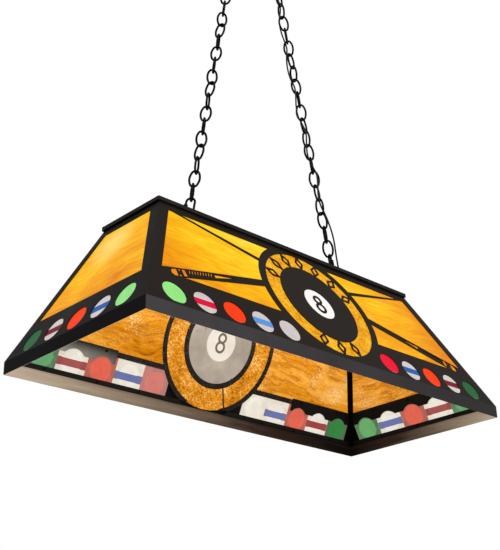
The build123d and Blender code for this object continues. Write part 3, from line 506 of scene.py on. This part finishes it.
def glaze(name, dark, pale):
    """Ceramic or moulded plastic: even colour, small pits."""
    s = Shader(name)
    cloud = s.noise(60, 3.0, 0.5)
    pits = s.voronoi(700)
    colour = s.mix(s.vary(cloud, 0.0, 1.0), dark, pale)
    return s.done(s.principled(Base_Color=colour, Roughness=s.vary(cloud, 0.25, 0.45),
                               Normal=s.bump(pits, 0.12, 0.0002)))


def jacket(name):
    """Cord jacket: black, faintly ribbed and dusty."""
    s = Shader(name)
    dust = s.noise(120, 3.0, 0.6)
    rib = s.noise(1.0, 2.0, 0.5, at=s.stretched(1500, 1500, 40))
    colour = s.mix(s.between(dust, 0.4, 0.75, 0.0, 1.0), (16, 15, 15), (44, 41, 39))
    return s.done(s.principled(Base_Color=colour, Roughness=0.5, Specular_IOR_Level=0.3,
                               Normal=s.bump(rib, 0.3, 0.0003)))


def bulb_skin(name):
    """Frosted warm envelope below, brass screw base above."""
    s = Shader(name)
    frost = s.noise(400, 3.0, 0.6)
    base = s.step(s.axis(2), BULB_BASE_UP - 0.0005 - DROP, BULB_BASE_UP + 0.0005 - DROP)
    thread = s.node("ShaderNodeTexWave", bands_direction="Z", wave_type="BANDS")
    s.feed(thread.inputs["Vector"], s.place)
    thread.inputs["Scale"].default_value = 45.0
    warm = s.ramp(frost, (0.3, (255, 236, 196)), (0.7, (255, 247, 224)))
    brass = s.ramp(thread.outputs["Fac"], (0.2, (120, 88, 38)), (0.8, (214, 176, 96)))
    lamp = s.principled(Base_Color=warm, Roughness=0.4, Emission_Color=warm,
                        Emission_Strength=s.vary(frost, 1.5, 1.9))
    metal = s.principled(Base_Color=brass, Metallic=1.0, Roughness=0.35,
                         Normal=s.bump(thread.outputs["Fac"], 0.6, 0.001))
    both = s.node("ShaderNodeMixShader")
    s.feed(both.inputs[0], base)
    s.tree.links.new(lamp, both.inputs[1])
    s.tree.links.new(metal, both.inputs[2])
    return s.done(both.outputs[0])


# Colour, each painted as it looks lit: outside, lit by the bulbs; inside, lit through the hole;
# and inside where steel backs the glass, as painted shade (see ball_glass).
BALL_COLOURS = {
    "light_green": (((152, 236, 134), (152, 232, 138)), ((56, 132, 66), (106, 172, 108)),
                    (92, 100, 84)),
    "dark_green": (((40, 100, 56), (38, 98, 56)), ((102, 166, 110),) * 2, (92, 112, 88)),
    "orange": (((255, 62, 10),) * 2, ((226, 102, 82),) * 2, (158, 102, 90)),
    "crimson": (((242, 8, 46),) * 2, ((210, 124, 114),) * 2, (176, 126, 120)),
    "white": (((212, 203, 200), (214, 207, 204)), ((236, 230, 218),) * 2, (226, 218, 204)),
    "red": (((224, 14, 60), (124, 16, 40)), ((160, 68, 68), (164, 84, 80)), (150, 76, 74)),
    "blue": (((92, 156, 224), (44, 96, 172)), ((106, 116, 168),) * 2, (110, 116, 150)),
}

finishes = {
    "amber": amber("amber_glass"),
    "granular": granular("ring_glass"),
    "opal": opal("opal_glass"),
    # painted shade: inward faces at 0.15 and the end panels at 0.32 of the rest
    "steel": steel("blackened_steel", (23, 16, 12), (35, 27, 22), specular=0.06, inside=0.15,
                   ends=0.32),
    "retainer": retainer_steel("retainer_steel"),
    "skirt": skirt_steel("skirt_steel"),
    "cap": steel("cap_steel", (16, 14, 13), (30, 27, 25)),
    "chain": steel("chain_steel", (4, 3, 3), (13, 12, 11), roughness=(0.34, 0.5), grain=0.2,
                   specular=0.06),
    "canopy": steel("canopy_steel", (24, 20, 18), (40, 34, 31), roughness=(0.3, 0.42),
                    metallic=0.2, grain=0.05, specular=0.3),
    "solder": solder("lead_came"),
    "zinc": brushed("zinc_plate", (132, 130, 124), (176, 174, 168)),
    "brass": brushed("brass", (150, 112, 52), (206, 166, 92)),
    "ceramic": glaze("ceramic", (206, 200, 188), (232, 228, 218)),
    "plastic": glaze("black_plastic", (18, 18, 18), (34, 33, 32)),
    "cord": jacket("cord_jacket"),
    "bulb": bulb_skin("bulb_glass"),
}
for colour, shades in BALL_COLOURS.items():
    finishes[colour] = ball_glass(f"{colour}_glass", *shades)

# Start of a node's name, and its finish; the first that fits is taken.
FINISH_OF = [(f"ball_glass_{colour}", colour) for colour in BALL_COLOURS] + [
    ("amber_glass", "amber"), ("ring_glass", "granular"), ("opal", "opal"),
    ("lead_seams", "solder"), ("glass_retainers", "retainer"), ("corner_angles", "steel"),
    ("panel", "steel"), ("numerals", "steel"), ("skirt", "skirt"), ("top_cap", "cap"),
    ("retainer_screws", "steel"), ("chain_", "chain"), ("quick_link", "chain"),
    ("link_sleeve", "chain"), ("master_ring", "chain"), ("eye_", "chain"),
    ("canopy_bushing", "plastic"), ("cap_bushing", "plastic"), ("canopy", "canopy"),
    ("ceiling_crossbar", "zinc"), ("stem", "brass"), ("terminal_block", "ceramic"),
    ("junction_block", "ceramic"), ("channel_screws", "zinc"), ("channel_wires", "cord"),
    ("hanger_straps", "steel"), ("socket_channel", "steel"), ("socket_nipples", "brass"),
    ("socket_shells", "brass"), ("socket_", "ceramic"), ("bulb_", "bulb"),
    ("supply_cord", "cord"),
]

for name, piece in nodes.items():
    finish = next(key for prefix, key in FINISH_OF if name.startswith(prefix))
    piece.data.materials.clear()
    piece.data.materials.append(finishes[finish])

# ---------------------------------------------------------------- supply cord, a smooth line
CORD_RADIUS = 0.002
APEX = -0.130                    # swing axis, where the chains' lines meet
TILT = -1.348                    # tilt axis, through the hanger eyes
JOINT_GAP = 0.001                # between the cord's lengths, at the axes
HANGER_X = 0.228                 # each hanger eye, from the middle
EYE_RADIUS = 0.011               # centre line of a hanger eye, which the chain bears on
CHAIN_TWIST = 107.45             # degrees from one link to the next
CHAIN_TURN = 37.65               # degrees, the right chain's turn below its top links
FIRST_LINK_DOWN = 0.0137112      # middle of the first link, along the chain
LINK_PITCH = 0.0362971
FIRST_WOVEN, LAST_WOVEN, WOVEN_STEP = 5, 29, 3      # the links that the cord goes through

chain_top = Vector((0, 0.009, APEX))
chain_lean = math.atan2(HANGER_X, APEX - TILT)
chain_end = Vector((HANGER_X - EYE_RADIUS * math.sin(chain_lean), 0, TILT))
along_chain = (chain_end - chain_top).normalized()
across_chain = Vector((0, 1, 0)).cross(along_chain).normalized()
aside_chain = along_chain.cross(across_chain)


def beside_chain(down, out, angle):
    """A point down the right chain, out from its middle line at an angle in degrees."""
    turn = math.radians(angle)
    outward = across_chain * math.cos(turn) + aside_chain * math.sin(turn)
    return chain_top + along_chain * down + outward * out


def woven_points():
    """In through every third link and out again, as the cord is threaded down the chain."""
    points = []
    half_turn = (WOVEN_STEP * CHAIN_TWIST - 360) / 2
    for number in range(FIRST_WOVEN, LAST_WOVEN + 1, WOVEN_STEP):
        down = FIRST_LINK_DOWN + number * LINK_PITCH
        angle = CHAIN_TWIST * number + CHAIN_TURN
        points += [beside_chain(down - 0.0255, 0.011, angle + 42),
                   beside_chain(down, 0.0034, angle),
                   beside_chain(down + 0.0255, 0.011, angle - 42)]
        if number < LAST_WOVEN:
            between = down + WOVEN_STEP / 2 * LINK_PITCH
            points.append(beside_chain(between, 0.0129, angle + half_turn))
    return points


top_route = [Vector(p) for p in (
    (0.014, 0.005, -0.0085), (0.014, 0.024, -0.0105), (0.014, 0.036, -0.0235),
    (0.014, 0.036, -0.085), (0, 0.0275, APEX - JOINT_GAP / 2))]
main_route = [Vector(p) for p in (
    (-0.0002, 0.0272, APEX - 1.5 * JOINT_GAP), (-0.0025, 0.026, APEX - 0.025),
    (0.008, 0.028, APEX - 0.052), (0.030, 0.024, APEX - 0.088), (0.043, 0.012, APEX - 0.126))]
main_route += woven_points()
main_route += [Vector(p) for p in (
    (0.2245, -0.0115, TILT + 0.092), (0.2390, -0.003, TILT + 0.040),
    (0.252, 0, TILT + JOINT_GAP / 2))]
inlet_route = [Vector(p) for p in (
    (0.2523, 0, TILT - JOINT_GAP / 2), (0.264, 0.0002, TILT - 0.019), (0.264, 0, 0.300 - DROP))]


def smooth_line(name, route):
    """Points read from a NURBS line with the route as its control points."""
    curve = bpy.data.curves.new(name + "_line", "CURVE")
    curve.dimensions = "3D"
    curve.resolution_u = 12
    spline = curve.splines.new("NURBS")
    spline.points.add(len(route) - 1)
    for point, place in zip(spline.points, route):
        point.co = (*place, 1.0)
    spline.order_u = 3
    spline.use_endpoint_u = True
    holder = bpy.data.objects.new(name + "_line", curve)
    mesh = bpy.data.meshes.new_from_object(holder)
    points = [vertex.co.copy() for vertex in mesh.vertices]
    bpy.data.objects.remove(holder)
    bpy.data.curves.remove(curve)
    bpy.data.meshes.remove(mesh)
    return points


def tube_mesh(name, points, radius, sides=14):
    """A closed tube along the points, its rings carried on without twist."""
    tangents = [(after - before).normalized() for before, after in
                zip([points[0]] + points[:-1], points[1:] + [points[-1]])]
    side = tangents[0].orthogonal().normalized()
    vertices, faces = [], []
    for point, tangent in zip(points, tangents):
        side = (side - tangent * side.dot(tangent)).normalized()
        other = tangent.cross(side)
        for step in range(sides):
            turn = 2 * math.pi * step / sides
            vertices.append(point + (side * math.cos(turn) + other * math.sin(turn)) * radius)
    for ring in range(len(points) - 1):
        for step in range(sides):
            a = ring * sides + step
            b = ring * sides + (step + 1) % sides
            faces.append((a, b, b + sides, a + sides))
    faces.append(tuple(reversed(range(sides))))
    faces.append(tuple(range((len(points) - 1) * sides, len(points) * sides)))
    mesh = bpy.data.meshes.new(name)
    mesh.from_pydata([tuple(v) for v in vertices], [], faces)
    mesh.shade_smooth()
    piece = bpy.data.objects.new(name, mesh)
    bpy.context.scene.collection.objects.link(piece)
    return piece


cords = {}
for name, route in (("cord_top", top_route), ("cord_woven", main_route),
                    ("cord_inlet", inlet_route)):
    cords[name] = tube_mesh(name, smooth_line(name, route), CORD_RADIUS)
    cords[name].data.materials.append(finishes["cord"])
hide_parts("supply_cord_top")
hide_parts("supply_cord")
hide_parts("supply_cord_inlet")
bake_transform(cords["cord_top"])
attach(cords["cord_woven"], "suspension")
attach(cords["cord_inlet"], "lamp")

# ---------------------------------------------------------------- soft edges on the heavier steel
for name in ("top_cap", "skirt_front", "skirt_back", "skirt_left", "skirt_right",
             "canopy_ring_nut"):
    bevel = nodes[name].modifiers.new("edge", "BEVEL")
    bevel.width = 0.0004
    bevel.segments = 2
    bevel.limit_method = "ANGLE"
    bevel.angle_limit = math.radians(40)

# ---------------------------------------------------------------- floor, light and camera
FLOOR_Z = -3.3
FLOOR_HALF = 30.0
corners = ((-1, -1), (1, -1), (1, 1), (-1, 1))
floor_mesh = bpy.data.meshes.new("floor")
floor_mesh.from_pydata([(x * FLOOR_HALF, y * FLOOR_HALF, FLOOR_Z) for x, y in corners], [],
                       [(0, 1, 2, 3)])
floor = bpy.data.objects.new("floor", floor_mesh)
bpy.context.scene.collection.objects.link(floor)
s = Shader("floor_pale")
pale = s.ramp(s.noise(2.0, 3.0), (0.3, (238, 238, 238)), (0.7, (244, 244, 244)))
floor_mesh.materials.append(s.done(s.principled(Base_Color=pale, Roughness=0.8)))

BACKDROP = 1.0                   # the white that the camera sees
AMBIENT = 0.55                   # the white that lights the lamp
world = bpy.data.worlds.new("studio")
bpy.context.scene.world = world
world.use_nodes = True
tree = world.node_tree
tree.nodes.clear()
path = tree.nodes.new("ShaderNodeLightPath")
choose = tree.nodes.new("ShaderNodeMixShader")
out = tree.nodes.new("ShaderNodeOutputWorld")
tree.links.new(path.outputs["Is Camera Ray"], choose.inputs[0])
for socket, strength in zip(list(choose.inputs)[1:], (AMBIENT, BACKDROP)):
    white = tree.nodes.new("ShaderNodeBackground")
    white.inputs[0].default_value = (1, 1, 1, 1)
    white.inputs[1].default_value = strength
    tree.links.new(white.outputs[0], socket)
tree.links.new(choose.outputs[0], out.inputs[0])


def add_light(name, kind, place, watts):
    """A light of that kind, linked into the scene; returns it for its size, colour and aim."""
    data = bpy.data.lights.new(name, kind)
    data.energy = watts
    light = bpy.data.objects.new(name, data)
    light.location = place
    bpy.context.scene.collection.objects.link(light)
    return light


shade_middle = Vector((0, 0, -1.55))
for name, place, across, watts in (("key_front", (0.6, -3.2, -2.4), 1.6, 45),
                                   ("fill_top", (-1.2, -1.6, 0.6), 2.0, 25)):
    light = add_light(name, "AREA", place, watts)
    light.data.shape = "DISK"
    light.data.size = across
    light.rotation_euler = (shade_middle - Vector(place)).to_track_quat("-Z", "Y").to_euler()
for index, x in enumerate(BULB_X):
    light = add_light(f"bulb_light_{index}", "POINT", (x, 0, BULB_UP - DROP), 2.2)
    light.data.color = (1.0, 0.86, 0.66)
    light.data.shadow_soft_size = 0.022
for number in (1, 2, 3):
    nodes[f"bulb_{number}"].visible_shadow = False

camera_data = bpy.data.cameras.new("view")
camera_data.sensor_fit = "HORIZONTAL"
camera_data.sensor_width = 36.0
camera_data.lens = 76.3416
camera_data.clip_end = 100
camera = bpy.data.objects.new("view", camera_data)
# From low in front and to the left; right, up and ahead are the view's own directions.
right = Vector((0.72473, -0.68854, -0.02599))
up = Vector((-0.26482, -0.31316, 0.91203))
ahead = Vector((0.63610, 0.65410, 0.40930))
turn = Matrix((right, up, -ahead)).transposed().to_4x4()
camera.matrix_world = Matrix.Translation((-1.5191, -1.5119, -0.6766 - DROP)) @ turn
bpy.context.scene.collection.objects.link(camera)
bpy.context.scene.camera = camera
bpy.context.scene.view_settings.view_transform = "Standard"
